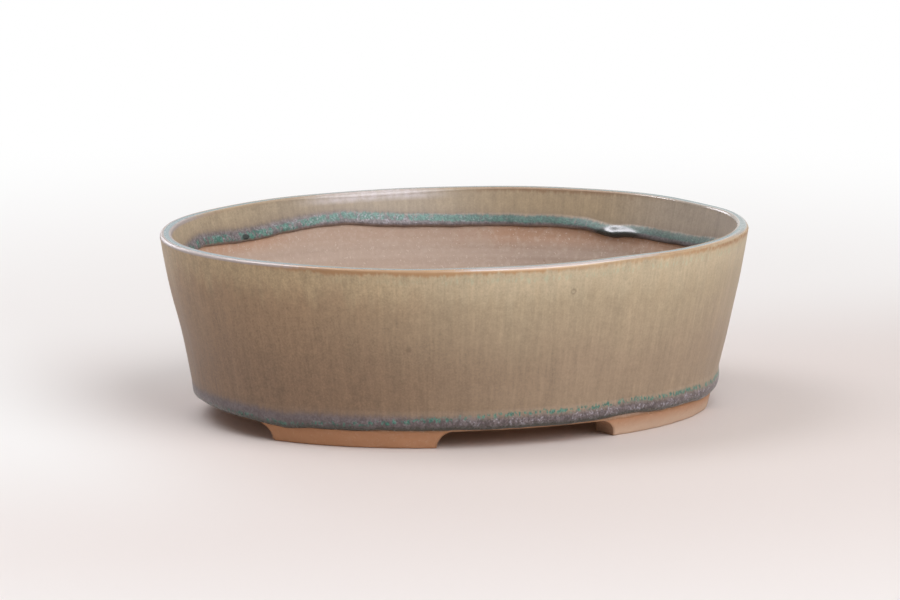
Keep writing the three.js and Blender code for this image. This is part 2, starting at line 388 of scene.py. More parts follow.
def filled(outline, loops, level, facing):
    """Points and triangles of one flat face, which faces up for 1 and down for -1."""
    grid = loose_grid(outline, loops)
    flat = np.concatenate([outline, *loops, grid])
    edges, start = [], 0
    for loop in [outline, *loops]:
        edges += [(start + i, start + (i + 1) % len(loop)) for i in range(len(loop))]
        start += len(loop)
    places, _, faces, origins, _, _ = delaunay_2d_cdt([Vector(p) for p in flat], edges, [], 0, SAME_POINT)
    places = np.array([tuple(p) for p in places])
    triangles = []
    for face in faces:
        middle = places[list(face)].mean(axis=0)
        if not any(in_hole(middle, loop) for loop in loops):
            triangles.append([origins[i][0] for i in face][::facing])
    height = np.full(len(flat), level)
    height[start:] += rolled(grid)
    return np.column_stack((flat, height)), triangles


# %% [markdown]
# ## The slab's lower edge
# Between the feet the slab's lower edge, the pot's heel, can be seen, and at the left end it is worn or
# trimmed much rounder than elsewhere. A bevel modifier takes one width for a whole edge. Here the radius is
# worked out for every angle: next to none over a foot, small between the feet and largest at the left end.
# The two gaps between the feet, at the ends and at the front, say at which angles a foot starts and stops.

# %% Heel of the slab
END_GAP = 100.0
FRONT_GAP = 92.0
HEEL = 1.3
HEEL_FROM = math.radians(3.0)
HEEL_FADE = math.radians(5.0)
WORN_HEEL = ((181.0, 17.0, 5.4),)
LEAST_HEEL = 0.05
sole_inset = float(clay_outside(0.0))
sole_a, sole_b = HALF_LENGTH - sole_inset, HALF_WIDTH - sole_inset
END_ANGLE = math.asin(END_GAP / 2.0 / sole_b)
FRONT_ANGLE = math.acos(FRONT_GAP / 2.0 / sole_a)


def heel_at(angle):
    """Radius of the slab's lower edge: rounded between the feet, most of all at the left end."""
    quarter_turn = np.arcsin(np.abs(np.sin(angle)))
    off_foot = np.maximum(END_ANGLE - quarter_turn, quarter_turn - FRONT_ANGLE) - HEEL_FROM
    between_feet = HEEL * np.clip(off_foot / HEEL_FADE, 0.0, 1.0)
    return np.maximum(between_feet + sway(angle, WORN_HEEL), LEAST_HEEL)


def tuck(z, heel):
    """How far the rounded lower edge lies inside the wall's straight line at a height."""
    below = np.clip((SLAB_UNDER + heel - z) / heel, 0.0, 1.0)
    return heel * (1.0 - np.sqrt(1.0 - below**2))


slab_heel = heel_at(slab_angle)
print(f"heel rounded by {slab_heel.min():.2f} to {slab_heel.max():.2f} mm")

# %% The slab's two flat faces
ARRIS = 0.6
SOFT_EDGE = 1.1
top_outline = slab_loop(clay_outside(SLAB_TOP))
top_holes = [hole_loop(hole, SOFT_EDGE) for hole in slab_holes]
top_points, top_faces = filled(top_outline, top_holes, SLAB_TOP, 1)
under_outline = slab_loop(clay_outside(SLAB_UNDER) + slab_heel)
under_holes = [hole_loop(hole, ARRIS) for hole in slab_holes]
under_points, under_faces = filled(under_outline, under_holes, SLAB_UNDER, -1)
under_first = len(top_points)
slab_points = [top_points, under_points]
slab_faces = top_faces + [[i + under_first for i in face] for face in under_faces]
print("triangles above and below:", len(top_faces), len(under_faces))


# %% Loops that join the two faces
def rounded(radius, turn):
    """How far a rounded edge stands in from its side and off its face, after a turn in degrees."""
    around = math.radians(turn)
    return radius * (1.0 - math.cos(around)), radius * (1.0 - math.sin(around))


def add_loop(xy, z):
    """Adds one loop at a level and returns the number of its first point."""
    first = sum(len(points) for points in slab_points)
    slab_points.append(np.column_stack((xy, np.broadcast_to(z, len(xy)))))
    return first


def join_loops(firsts, count):
    """Adds quads from each loop to the next, given the numbers of their first points."""
    for one, other in zip(firsts, firsts[1:]):
        for i in range(count):
            on = (i + 1) % count
            slab_faces.append((one + i, one + on, other + on, other + i))


# %% Floor slab
HEEL_TURNS = (72.0, 54.0, 36.0, 18.0, 0.0)
MOUTH_TURNS = (60.0, 30.0, 0.0)
EXIT_TURNS = (0.0, 45.0)
side_loops = []
for turn in HEEL_TURNS:
    inwards, upwards = rounded(slab_heel, turn)
    heel_level = SLAB_UNDER + upwards
    side_loops.append(add_loop(slab_loop(clay_outside(heel_level) + inwards), heel_level))
join_loops([under_first, *side_loops, 0], SLAB_POINTS)

for number, hole in enumerate(slab_holes):
    bore_loops = []
    for turn in MOUTH_TURNS:
        wider, downwards = rounded(SOFT_EDGE, turn)
        bore_loops.append(add_loop(hole_loop(hole, wider), SLAB_TOP - downwards))
    for turn in EXIT_TURNS:
        wider, upwards = rounded(ARRIS, turn)
        bore_loops.append(add_loop(hole_loop(hole, wider), SLAB_UNDER + upwards))
    mouth = SLAB_POINTS + number * HOLE_POINTS
    join_loops([mouth, *bore_loops, under_first + mouth], HOLE_POINTS)

slab_all = np.concatenate(slab_points)
slab = make_piece("clay_floor", hand_made(slab_all[:, 0], slab_all[:, 1], slab_all[:, 2]), slab_faces)
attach(slab, "root")
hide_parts("floor_slab")

# %% [markdown]
# ## The four feet
# Each foot is a strip of clay that follows the oval, cut off at both ends by a hollow scoop. Extruding a
# drawn end and bending it would need a curve modifier; here the strip is a grid along the oval whose two
# ends move outwards with height, and that movement is the scoop. The sole's edges are rounded, as a wet
# sponge leaves them, and the long faces wander by less than a fifth of a millimetre. The front right foot
# reaches a little further towards the end than the other three.

# %% Section of a foot
FOOT_WIDTH = 14.0
FOOT_TOP = SLAB_UNDER - SEAT
SOLE_EDGE = 1.0
UPRIGHT_POINTS = 11
EDGE_POINTS = 6
SOLE_POINTS = 6
sole_turn = np.radians(np.linspace(0.0, 90.0, EDGE_POINTS))[1:]
upright = np.linspace(FOOT_TOP, SOLE_EDGE, UPRIGHT_POINTS)
foot_level = np.concatenate((upright, SOLE_EDGE * (1.0 - np.sin(sole_turn))))
foot_in = np.concatenate((np.zeros(UPRIGHT_POINTS), SOLE_EDGE * (1.0 - np.cos(sole_turn))))
sole_in = np.linspace(SOLE_EDGE, FOOT_WIDTH - SOLE_EDGE, SOLE_POINTS)[1:-1]
section_in = np.concatenate((foot_in, sole_in, FOOT_WIDTH - foot_in[::-1]))
section_level = np.concatenate((foot_level, np.zeros(len(sole_in)), foot_level[::-1]))
SECTION = len(section_in)
SIDE = len(foot_level)
print(f"foot section: {SECTION} points, {FOOT_WIDTH:.0f} mm wide")

# %% Points of a foot
SCOOP = 8.65
FOOT_STEPS = 64
FOOT_WANDER = ((0.10, 31.0, 0.5, 3.0, 1.0), (0.07, 73.0, 1.3, 0.0, 2.0))


def pace(angle):
    """Millimetres along the sole for one radian at this angle."""
    return math.hypot(sole_a * math.sin(angle), sole_b * math.cos(angle))


def scooped(level):
    """How far the foot's end has moved outwards at a height, with the sole's corner rounded."""
    hollow_end = SCOOP - np.sqrt(SCOOP**2 - np.minimum(level, SCOOP) ** 2)
    corner = np.clip(1.0 - level / SOLE_EDGE, 0.0, 1.0)
    return hollow_end - SOLE_EDGE * (1.0 - np.sqrt(1.0 - corner**2))


def foot_points(x_side, y_side, reach_on):
    """Points of one foot, made in the corner of positive x and y and then mirrored to its own corner."""
    share = np.linspace(0.0, 1.0, FOOT_STEPS)[:, None]
    start = END_ANGLE - reach_on - scooped(section_level) / pace(END_ANGLE)
    stop = FRONT_ANGLE + scooped(section_level) / pace(FRONT_ANGLE)
    angle = start + (stop - start) * share
    inset = clay_outside(section_level)
    normal_x, normal_y = np.cos(angle) / sole_a, np.sin(angle) / sole_b
    length = np.hypot(normal_x, normal_y)
    wander = sum(
        size * np.sin(angle * along + section_level * up + x_start * x_side + y_start * y_side)
        for size, along, up, x_start, y_start in FOOT_WANDER
    )
    inward = section_in + wander * (section_level > 0.0)
    x = (HALF_LENGTH - inset) * np.cos(angle) - inward * normal_x / length
    y = (HALF_WIDTH - inset) * np.sin(angle) - inward * normal_y / length
    return np.stack((x_side * x, y_side * y, np.broadcast_to(section_level, x.shape)), axis=-1)


print(f"one degree of the sole at its end is {pace(END_ANGLE) * math.radians(1.0):.1f} mm long")


# %% Faces of a foot
def foot_faces():
    """Quads along the strip, and the faces that close its two ends."""
    faces = []
    for step in range(FOOT_STEPS - 1):
        here, there = step * SECTION, (step + 1) * SECTION
        for i in range(SECTION):
            on = (i + 1) % SECTION
            faces.append((here + i, there + i, there + on, here + on))
    for end, order in ((0, 1), ((FOOT_STEPS - 1) * SECTION, -1)):
        for i in range(SIDE - 1):
            quad = (end + i, end + i + 1, end + SECTION - 2 - i, end + SECTION - 1 - i)
            faces.append(quad[::order])
        tread = tuple(end + i for i in range(SIDE - 1, SECTION - SIDE + 1))
        faces.append(tread[::order])
    return faces


print("faces of a foot:", len(foot_faces()))

# %% Feet
FOOT_CREASE = 50.0
REACH_ON = {"front_right": math.radians(2.2)}


def foot_mesh(name, x_side, y_side, reach_on):
    """One foot, with its two scooped ends marked for the finish, which paints them darker as shade."""
    points = foot_points(x_side, y_side, reach_on).reshape(-1, 3)
    faces = foot_faces()
    if x_side * y_side > 0:
        faces = [face[::-1] for face in faces]
    foot = make_piece(name, points, faces, FOOT_CREASE)
    cove = np.zeros((FOOT_STEPS, SECTION))
    cove[[0, -1]] = 1.0
    keep_number(foot, "cove", cove)
    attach(foot, "root")
    return foot


feet = {}
for depth, y_side in (("front", -1), ("back", 1)):
    for hand, x_side in (("left", -1), ("right", 1)):
        place = f"{depth}_{hand}"
        feet[place] = foot_mesh(f"clay_foot_{place}", x_side, y_side, REACH_ON.get(place, 0.0))
        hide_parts(f"foot_{place}")

# %% [markdown]
# ## The glaze as one flowing skin
# It is a single glaze, dipped once and fired. On the rim's edges it runs thin, on the wall it streaks, and
# at its two lower ends it gathers into a roll. A solidify modifier on the wall would give one thickness and
# square ends. Here the coat is a function of height: one function for the outer wall and one for the inside.
# The frame has the glaze as five rings, and the rings on a wall share its function, so that no step shows
# where one ends and the next begins.

# %% Where the glaze ends
BASE_LINE_SWAYS = (
    (182.0, 16.0, 0.5), (212.0, 7.0, -1.5), (226.0, 12.0, -0.6), (270.0, 22.0, -0.1), (294.0, 4.5, 1.5),
    (288.0, 6.0, 0.3), (325.0, 8.0, -1.0), (20.0, 15.0, 0.5), (70.0, 9.0, -0.7), (118.0, 8.0, -0.6),
)
SILL_LINE_SWAYS = (
    (101.0, 9.0, 2.7), (116.0, 10.0, 0.9), (140.0, 11.0, 3.0), (70.0, 22.0, -0.5), (20.0, 22.0, -3.4),
    (92.0, 8.0, 0.9), (109.0, 7.0, 0.6), (37.0, 4.5, -2.0), (178.0, 12.0, -1.0), (215.0, 18.0, 1.4),
    (262.0, 12.0, -1.5), (310.0, 16.0, 1.0),
)
FINE_WAVES = ((23, 0.13, 0.4), (41, 0.09, 1.7), (67, 0.06, 0.2))
base_line = BASE_ROLL_FOOT + sway(AROUND, BASE_LINE_SWAYS) + ripple(AROUND, FINE_WAVES)
sill_line = SILL_FOOT + sway(AROUND, SILL_LINE_SWAYS) + ripple(AROUND, FINE_WAVES)
print(f"base line from {base_line.min():.1f} to {base_line.max():.1f} mm")
print(f"inner line from {sill_line.min():.1f} to {sill_line.max():.1f} mm")

# %% How thick a roll is over its lower edge
LIP_ROUND = 1.1
ROLL_SKEW = 0.62
ROLL_SOFTNESS = 1.25


def lip_share(above):
    """How much of the full coat there is a little above the lower edge, which is round."""
    return np.sqrt(1.0 - (1.0 - np.clip(above / LIP_ROUND, 0.0, 1.0)) ** 2)


def roll_share(above, tall):
    """The roll's bulge: steep at the lower edge, a long soft run-out at the top."""
    share = np.clip(above / tall, 0.0, 1.0)
    return np.sin(math.pi * share**ROLL_SKEW) ** ROLL_SOFTNESS


print(f"coat at half the height of its lip: {lip_share(0.5 * LIP_ROUND):.2f} of the full coat")

# %% The face of the outer glaze
BELLY = 0.45
FLAT_BELLY = ((180.0, 30.0, -1.0),)
BENT_WALL = ((180.0, 30.0, 0.6),)
BASE_CREST = 19.4
BASE_STAND = 1.5
BASE_FULLNESS = ((6, 0.10, 0.9), (17, 0.08, 0.1))
LEAN_END = ((180.0, 24.0, -0.75),)
WALL_RUNS = ((19, 0.05, 0.3), (31, 0.05, 1.1), (53, 0.03, 2.0))
SAG_SIZE = 0.06
SAG_PITCH = 0.21
SAG_BEND = 4.0
SAG_BENDS = 2
RUN_FADE = 12.0
under_glaze_heel = heel_at(AROUND)


def clay_edge(z):
    """Inset of the clay under the outer glaze, with the slab's rounded edge."""
    return clay_outside(z) + tuck(z, under_glaze_heel)


def wall_unevenness(z):
    """Thicker and thinner runs of glaze down the outer wall, and the sags across them."""
    fade = np.clip((RIM_BAND_FOOT - z) / RUN_FADE, 0.0, 1.0)
    sags = SAG_SIZE * np.sin(z * SAG_PITCH + SAG_BEND * np.sin(SAG_BENDS * AROUND))
    return fade * (ripple(AROUND, WALL_RUNS) + sags)


def outer_face(z):
    """Inset of the glaze on the outer wall."""
    above = z - base_line
    up = math.pi * np.clip((z - BASE_ROLL_TOP) / (RIM_BAND_FOOT - BASE_ROLL_TOP), 0.0, 1.0)
    swell = BELLY * (1.0 + sway(AROUND, FLAT_BELLY)) * np.sin(up)
    swell = swell - sway(AROUND, BENT_WALL) * np.sin(2.0 * up)
    fullness = 1.0 + ripple(AROUND, BASE_FULLNESS) + sway(AROUND, LEAN_END)
    roll = BASE_STAND * fullness * roll_share(above, BASE_CREST - base_line)
    coat = (COAT - wall_unevenness(z)) * lip_share(above)
    return clay_edge(z) - coat - roll - swell


half_way = 0.5 * HEIGHT
belly_coat = clay_outside(half_way) - outer_face(half_way).mean()
print(f"glaze and belly half way up the wall: {belly_coat:.2f} mm")

# %% The face of the inner glaze
SILL_TALL = 6.8
SILL_STAND = 1.15
SILL_FULLNESS = ((9, 0.18, 0.9), (26, 0.12, 0.4))
DRIP_PLACE = 35.5
DRIP_HALF = 11.5
DRIP_STAND = 1.5
DRIP_CENTRE = 3.0
DRIP_TALL = 3.8
DRIP_WAVES = ((61, 0.17, 0.6), (97, 0.10, 1.9))


def drip(above):
    """The long drop at one place of the roll: a soft swelling, slightly uneven along its length."""
    sideways = np.clip(np.abs(degrees_from(AROUND, DRIP_PLACE)) / DRIP_HALF, 0.0, 1.0)
    upright_share = np.clip(np.abs(above - DRIP_CENTRE) / DRIP_TALL, 0.0, 1.0)
    swelling = (np.cos(0.5 * math.pi * sideways) * np.cos(0.5 * math.pi * upright_share)) ** 2
    return DRIP_STAND * swelling * (1.0 + ripple(AROUND, DRIP_WAVES))


def inner_face(z):
    """Inset of the glaze inside the rim."""
    above = z - sill_line
    fullness = 1.0 + ripple(AROUND, SILL_FULLNESS)
    roll = SILL_STAND * fullness * roll_share(above, SILL_TALL)
    return clay_inside(z) + (COAT + drip(above)) * lip_share(above) + roll


print(f"the drop stands out by {drip(np.full(COLUMNS, DRIP_CENTRE)).max():.1f} mm")

# %% [markdown]
# ## Lengths that the finish can read
# The finish has to know where on the run of the glaze a point lies. A finish can look at height alone, but
# the lower edges wander. So each point keeps three things: its height over the lower edge, called lip;
# whether it lies outside, at 0, or within the rim, at 1; and its place on an oval that doesn't taper,
# called lap, on which an upright run keeps its width all the way down.

# %% One ring of glaze
BACK_ROWS = 6


def glaze_ring(name, insets, heights, line, within):
    """One ring of glaze from the parts of its section, its lower line and which side it is on."""
    height = np.concatenate(heights)
    piece = swept_ring(name, np.concatenate(insets), height)
    keep_number(piece, "lip", height - line)
    keep_number(piece, "within", np.broadcast_to(within, height.shape))
    upright_oval = (HALF_LENGTH * np.cos(AROUND), HALF_WIDTH * np.sin(AROUND), height)
    lap = np.stack(np.broadcast_arrays(*upright_oval), axis=-1)
    layer = piece.data.attributes.new("lap", "FLOAT_VECTOR", "POINT")
    layer.data.foreach_set("vector", lap.astype(np.float32).ravel())
    return piece


def settle(piece, node):
    """Puts a glaze piece in its node's place."""
    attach(piece, "root")
    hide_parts(node)


# %% [markdown]
# ## Glaze on the outer wall and its roll at the foot
# The wall's coat is a plain skin with a slight belly. The roll below it is where the melt stopped: its lower
# edge wanders up and down along the oval and is as round as a bead of water. A bevel could round a straight
# edge, but this one is a function of height, so it stays round wherever the line goes.

# %% Outer coat
COAT_ROWS = 48
coat_z = rows(*np.linspace(BASE_ROLL_TOP, RIM_BAND_FOOT, COAT_ROWS))
coat_back_z = rows(*np.linspace(RIM_BAND_FOOT, BASE_ROLL_TOP, BACK_ROWS))
outer_coat = glaze_ring(
    "outer_coat",
    (outer_face(coat_z), clay_outside(coat_back_z) - SEAT), (coat_z, coat_back_z),
    base_line, 0.0,
)
settle(outer_coat, "outer_glaze")

# %% Roll at the foot of the wall
ROLL_ROWS = 40
ROLL_CROWDING = 1.7
up_roll = (np.linspace(0.0, 1.0, ROLL_ROWS) ** ROLL_CROWDING)[:, None]
down_back = np.linspace(1.0, 0.0, BACK_ROWS)[:, None]
base_z = base_line + (BASE_ROLL_TOP - base_line) * up_roll
base_back_z = base_line + (BASE_ROLL_TOP - base_line) * down_back
base_roll = glaze_ring(
    "base_roll",
    (outer_face(base_z), clay_edge(base_back_z) - SEAT), (base_z, base_back_z),
    base_line, 0.0,
)
settle(base_roll, "base_glaze_roll")

# %% [markdown]
# ## Glaze over the rim
# The rim's top is nearly level, with a small rounded edge on both sides. Glaze pulls back from such an edge
# and leaves it thin. A bevel modifier would round it by one radius all the way, but the hand that wiped this
# rim rounded it more at the ends, the front and the back. So the two radii are arrays round the oval. The
# band goes up the outside, over the top and down the inside, and its top is dished by a tenth of a
# millimetre, where the melt lay and cooled.

# %% Radii and heights of the rim
OUTER_EDGE = 1.15
INNER_EDGE = 1.0
SOFT_OUTSIDE = ((350.0, 22.0, 1.5), (180.0, 26.0, 0.5), (268.0, 18.0, 0.9))
SOFT_INSIDE = ((90.0, 17.0, 1.9), (355.0, 18.0, 0.6))
RIM_DISH = 0.12
EDGE_ROWS = 10
TOP_ROWS = 9
UP_ROWS = 5
DOWN_ROWS = 6
outer_round = OUTER_EDGE + sway(AROUND, SOFT_OUTSIDE)
inner_round = INNER_EDGE + sway(AROUND, SOFT_INSIDE)
outer_start = HEIGHT - outer_round
inner_start = HEIGHT - inner_round
flat_from = outside(outer_start) + outer_round
flat_to = inside(inner_start) - inner_round
edge = np.radians(np.linspace(0.0, 90.0, EDGE_ROWS))[:, None]
across = np.linspace(0.0, 1.0, TOP_ROWS)[1:-1, None]
up_z = RIM_BAND_FOOT + (outer_start - RIM_BAND_FOOT) * np.linspace(0.0, 1.0, UP_ROWS)[:-1, None]
down_z = inner_start + (RIM_BAND_FOOT - inner_start) * np.linspace(0.0, 1.0, DOWN_ROWS)[1:, None]
print(f"outer edge rounded by {outer_round.min():.1f} to {outer_round.max():.1f} mm")
print(f"inner edge rounded by {inner_round.min():.1f} to {inner_round.max():.1f} mm")

# %% Rim band
rim_inset = rows(
    *outside(up_z),
    *(flat_from - outer_round * np.cos(edge)),
    *(flat_from + (flat_to - flat_from) * across),
    *(flat_to + inner_round * np.sin(edge)),
    *inside(down_z),
)
rim_z = rows(
    *up_z,
    *(outer_start + outer_round * np.sin(edge)),
    *(HEIGHT - RIM_DISH * np.sin(math.pi * across)),
    *(inner_start + inner_round * np.cos(edge)),
    *down_z,
)
rim_back_inset = rows(
    clay_inside(RIM_BAND_FOOT) + SEAT, clay_inside(CLAY_SHOULDER) + SEAT, *(inner_edge[::-1] + SEAT),
    *(outer_edge[::-1] - SEAT), clay_outside(CLAY_SHOULDER) - SEAT, clay_outside(RIM_BAND_FOOT) - SEAT,
)
rim_back_z = rows(
    RIM_BAND_FOOT, CLAY_SHOULDER, *(edge_fall[::-1] + SEAT),
    *(edge_rise[::-1] + SEAT), CLAY_SHOULDER, RIM_BAND_FOOT,
)
rim_within = rows(
    *np.zeros(len(up_z) + EDGE_ROWS), *across, *np.ones(EDGE_ROWS + len(down_z)),
    *np.repeat([1.0, 0.0], len(rim_back_z) // 2),
)
rim_band = glaze_ring(
    "rim_band",
    (rim_inset, rim_back_inset), (rim_z, rim_back_z),
    base_line * (1.0 - rim_within) + sill_line * rim_within, rim_within,
)
settle(rim_band, "rim_glaze")

# %% [markdown]
# ## Glaze inside the rim
# Inside, the dip stopped about two centimetres down. The lower edge gathered into a second roll, and at one
# place the melt hung on as a long drop. The drop could be a bead of its own, but it grew out of the roll, so
# it is a swelling of the roll's own face.

# %% Lining
LINING_ROWS = 14
LINING_BACK_ROWS = 4
lining_z = rows(*np.linspace(RIM_BAND_FOOT, SILL_TOP, LINING_ROWS))
lining_back_z = rows(*np.linspace(SILL_TOP, RIM_BAND_FOOT, LINING_BACK_ROWS))
lining = glaze_ring(
    "inner_lining",
    (clay_inside(lining_back_z) + SEAT, inner_face(lining_z)), (lining_back_z, lining_z),
    sill_line, 1.0,
)
settle(lining, "inner_glaze")

# %% Roll at the foot of the lining
sill_z = sill_line + (SILL_TOP - sill_line) * up_roll[::-1]
sill_back_z = sill_line + (SILL_TOP - sill_line) * down_back[::-1]
inner_roll = glaze_ring(
    "inner_roll",
    (clay_inside(sill_back_z) + SEAT, inner_face(sill_z)), (sill_back_z, sill_z),
    sill_line, 1.0,
)
settle(inner_roll, "inner_glaze_roll")

# %% [markdown]
# ## Writing finishes as sums
# A finish is a graph of nodes, and most of a graph is arithmetic. It could be drawn by hand in the editor,
# but a drawn graph is hard to read and to change. The class below wraps one socket, so that `1 - mask` or
# `rust * ticks` adds the Math nodes by itself. Everything else comes from one method that takes a node's
# type, its settings and what goes into its sockets.

# %% A socket that can be added and multiplied
class Value:
    """One output of a node, with the sums of the Math node as Python operators."""

    def __init__(self, graph, output):
        self.graph = graph
        self.output = output

    def maths(self, operation, first, second):
        """The output of one Math node."""
        return self.graph.node("ShaderNodeMath", {"operation": operation}, {0: first, 1: second})

    def __add__(self, other):
        return self.maths("ADD", self, other)

    def __sub__(self, other):
        return self.maths("SUBTRACT", self, other)

    def __rsub__(self, other):
        return self.maths("SUBTRACT", other, self)

    def __mul__(self, other):
        return self.maths("MULTIPLY", self, other)

    __radd__ = __add__
    __rmul__ = __mul__


# %% One method for every node, and one for colours
class Graph:
    """A tree of nodes, and the one way in which this lesson adds a node to it."""

    def __init__(self, tree):
        self.tree = tree

    def feed(self, socket, value):
        """Links a value to a socket, or sets the socket to a number or a colour."""
        if isinstance(value, Value):
            self.tree.links.new(value.output, socket)
        else:
            socket.default_value = value

    def node(self, kind, settings=None, inputs=None, output=0):
        """Adds a node of one type, with its settings and the values or links of its sockets."""
        made = self.tree.nodes.new(kind)
        for name, setting in (settings or {}).items():
            setattr(made, name, setting)
        for name, value in (inputs or {}).items():
            self.feed(made.inputs[name], value)
        return Value(self, made.outputs[output])


def srgb(red, green, blue):
    """A colour as it looks on a screen, from 0 to 255, as the linear colour that a node wants."""
    part = [c / 255.0 for c in (red, green, blue)]
    return [c / 12.92 if c <= 0.04045 else ((c + 0.055) / 1.055) ** 2.4 for c in part] + [1.0]


print("a middle grey in a node:", round(srgb(128, 128, 128)[0], 3))

# %% [markdown]
# ## The words of a finish
# A material needs only a few kinds of node here: what the points keep, places, noise, soft steps, mixed
# colours and a relief. Each gets a short method, so that a finish reads as a list of what happens on the
# pot. The noise is moved to lie about zero, because most of it pushes a line up and down. A Mix node has
# sockets of the same names for numbers, vectors and colours, so those for colours go by their number.

# %% A material and its few kinds of node
RELIEF = 0.12
MIX_SHARE, MIX_FIRST, MIX_SECOND, MIX_COLOUR = 0, 6, 7, 2


class Finish(Graph):
    """One material and the few kinds of node that this pot needs."""

    def __init__(self, name):
        self.material = bpy.data.materials.new(name)
        self.material.use_nodes = True
        super().__init__(self.material.node_tree)
        self.shader = self.tree.nodes["Principled BSDF"]

    def into(self, socket, value):
        """Feeds one socket of the surface."""
        self.feed(self.shader.inputs[socket], value)

    def kept(self, name, output="Fac"):
        """What the points keep under a name: a number, or a place if the output is Vector."""
        return self.node("ShaderNodeAttribute", {"attribute_name": name}, output=output)

    def vector(self, operation, inputs, output="Vector"):
        """A sum of places or colours."""
        return self.node("ShaderNodeVectorMath", {"operation": operation}, inputs, output)

    def place(self):
        """The place on the pot, in metres."""
        return self.node("ShaderNodeTexCoord", output="Object")

    def part(self, vector, axis):
        """One of the three numbers of a place."""
        return self.node("ShaderNodeSeparateXYZ", None, {0: vector}, axis)

    def scaled(self, vector, factor):
        """A place moved out, or a colour made lighter or darker, by a factor."""
        return self.vector("SCALE", {0: vector, "Scale": factor})

    def stretched(self, vector, across, down):
        """A place with its own scale across and down the wall."""
        return self.vector("MULTIPLY", {0: vector, 1: (across, across, down)})

    def noise(self, vector, scale=1.0, detail=2.0, rough=0.5):
        """Soft noise on both sides of zero."""
        inputs = {"Vector": vector, "Scale": scale, "Detail": detail, "Roughness": rough}
        return self.node("ShaderNodeTexNoise", {"noise_dimensions": "3D"}, inputs) - 0.5

    def rise(self, value, low, high):
        """A soft step from 0 at low to 1 at high."""
        inputs = {"Value": value, "From Min": low, "From Max": high}
        return self.node("ShaderNodeMapRange", {"interpolation_type": "SMOOTHSTEP"}, inputs)

    def fade(self, value, low, high):
        """A soft step from 1 at low to 0 at high."""
        return 1.0 - self.rise(value, low, high)

    def band(self, value, low, high, soft):
        """1 between two values, with soft ends."""
        return self.rise(value, low - soft, low + soft) * self.fade(value, high - soft, high + soft)

    def mix(self, share, first, second):
        """A colour between two colours."""
        inputs = {MIX_SHARE: share, MIX_FIRST: first, MIX_SECOND: second}
        return self.node("ShaderNodeMix", {"data_type": "RGBA"}, inputs, MIX_COLOUR)

    def near(self, vector, centre, size, solid):
        """1 within the inner share of an egg-shaped place, fading to 0 at its skin."""
        apart = self.vector("SUBTRACT", {0: vector, 1: centre})
        apart = self.vector("DIVIDE", {0: apart, 1: size})
        return self.fade(self.vector("LENGTH", {0: apart}, "Value"), solid, 1.0)

    def relief(self, height):
        """A normal bent by a height, of which 1 stands for RELIEF millimetres."""
        return self.node("ShaderNodeBump", None, {"Height": height, "Distance": RELIEF * MM})


# %% [markdown]
# ## The glaze
# One finish serves all five rings, because it is one glaze: what changes is its thickness. Thin on an edge
# it burns rusty, on the wall it runs in khaki and pinkish streaks with a greener band under the rim, and
# where it gathers it turns grey-violet, breaks into teal specks and pale crystals and ends in a dark line.
# It could be painted as a picture, but a picture has seams and one size. Here the lengths kept on the points
# say which of these a place is, and noise makes the runs. In the names, left and right are the two ends of
# the oval; the left side, which the fire made browner, is also darker from painted shade.

# %% Glaze: lengths and noises
def glaze_runs(glaze):
    """The lengths and the noises that every part of the glaze's colour looks at."""
    run = SimpleNamespace()
    run.lip = glaze.kept("lip")
    run.within = glaze.kept("within")
    run.outer = 1.0 - run.within
    run.lap = glaze.kept("lap", "Vector")
    run.spot = glaze.scaled(glaze.place(), 1.0 / MM)
    run.along = glaze.part(run.lap, "X")
    run.fall = HEIGHT - glaze.part(run.lap, "Z")
    run.cloud = glaze.noise(run.spot, 0.024)
    run.streak = glaze.noise(glaze.stretched(run.lap, 0.17, 0.022))
    run.thread = glaze.noise(glaze.stretched(run.lap, 0.65, 0.06))
    run.tick = glaze.noise(glaze.stretched(run.lap, 0.42, 0.10), detail=3.0, rough=0.6)
    run.grain = glaze.noise(run.spot, 1.0, 3.0, 0.65)
    run.mottle = glaze.noise(run.spot, 0.28, 3.0, 0.6)
    run.speck = glaze.noise(run.spot, 1.15, 1.0)
    run.fleck = glaze.noise(run.spot, 0.6)
    run.blotch = glaze.noise(run.spot, 0.22, 2.0, 0.55)
    run.drift = run.along + run.cloud * 60.0
    run.warm = glaze.fade(run.drift, -135.0, -10.0)
    run.height = run.lip + run.tick * (2.4 - run.within) + run.thread * 1.4
    return run


# %% Glaze: the coat inside the rim
LEFT_LINING = srgb(168, 150, 125)
BACK_LINING = srgb(155, 138, 116)
WARM_LINING = srgb(158, 137, 109)
RIGHT_LINING_GREY_AND_LIT = srgb(161, 147, 133)


def lining_colour(glaze, run):
    """The coat inside the rim, which changes from end to end."""
    lining = glaze.mix(glaze.rise(run.along, -100.0, -45.0), LEFT_LINING, BACK_LINING)
    lining = glaze.mix(glaze.rise(run.along, 20.0, 80.0), lining, WARM_LINING)
    # At the right end the lining is greyer, and it is lighter as painted light where less lamp light
    # reaches.
    return glaze.mix(glaze.rise(run.along, 110.0, 146.0), lining, RIGHT_LINING_GREY_AND_LIT)


# %% Glaze: the coat on the wall
# The left and lower khakis are darker, partly as painted shade.
KHAKI = srgb(173, 156, 128)
LEFT_KHAKI_SHADED = srgb(155, 129, 100)
LOW_KHAKI_SHADED = srgb(148, 126, 105)
LOW_BROWN_SHADED = srgb(123, 98, 77)
HIGH_KHAKI = srgb(198, 182, 153)
HIGH_LEFT_SHADED = srgb(184, 163, 128)
GREEN_RUN = srgb(166, 186, 160)


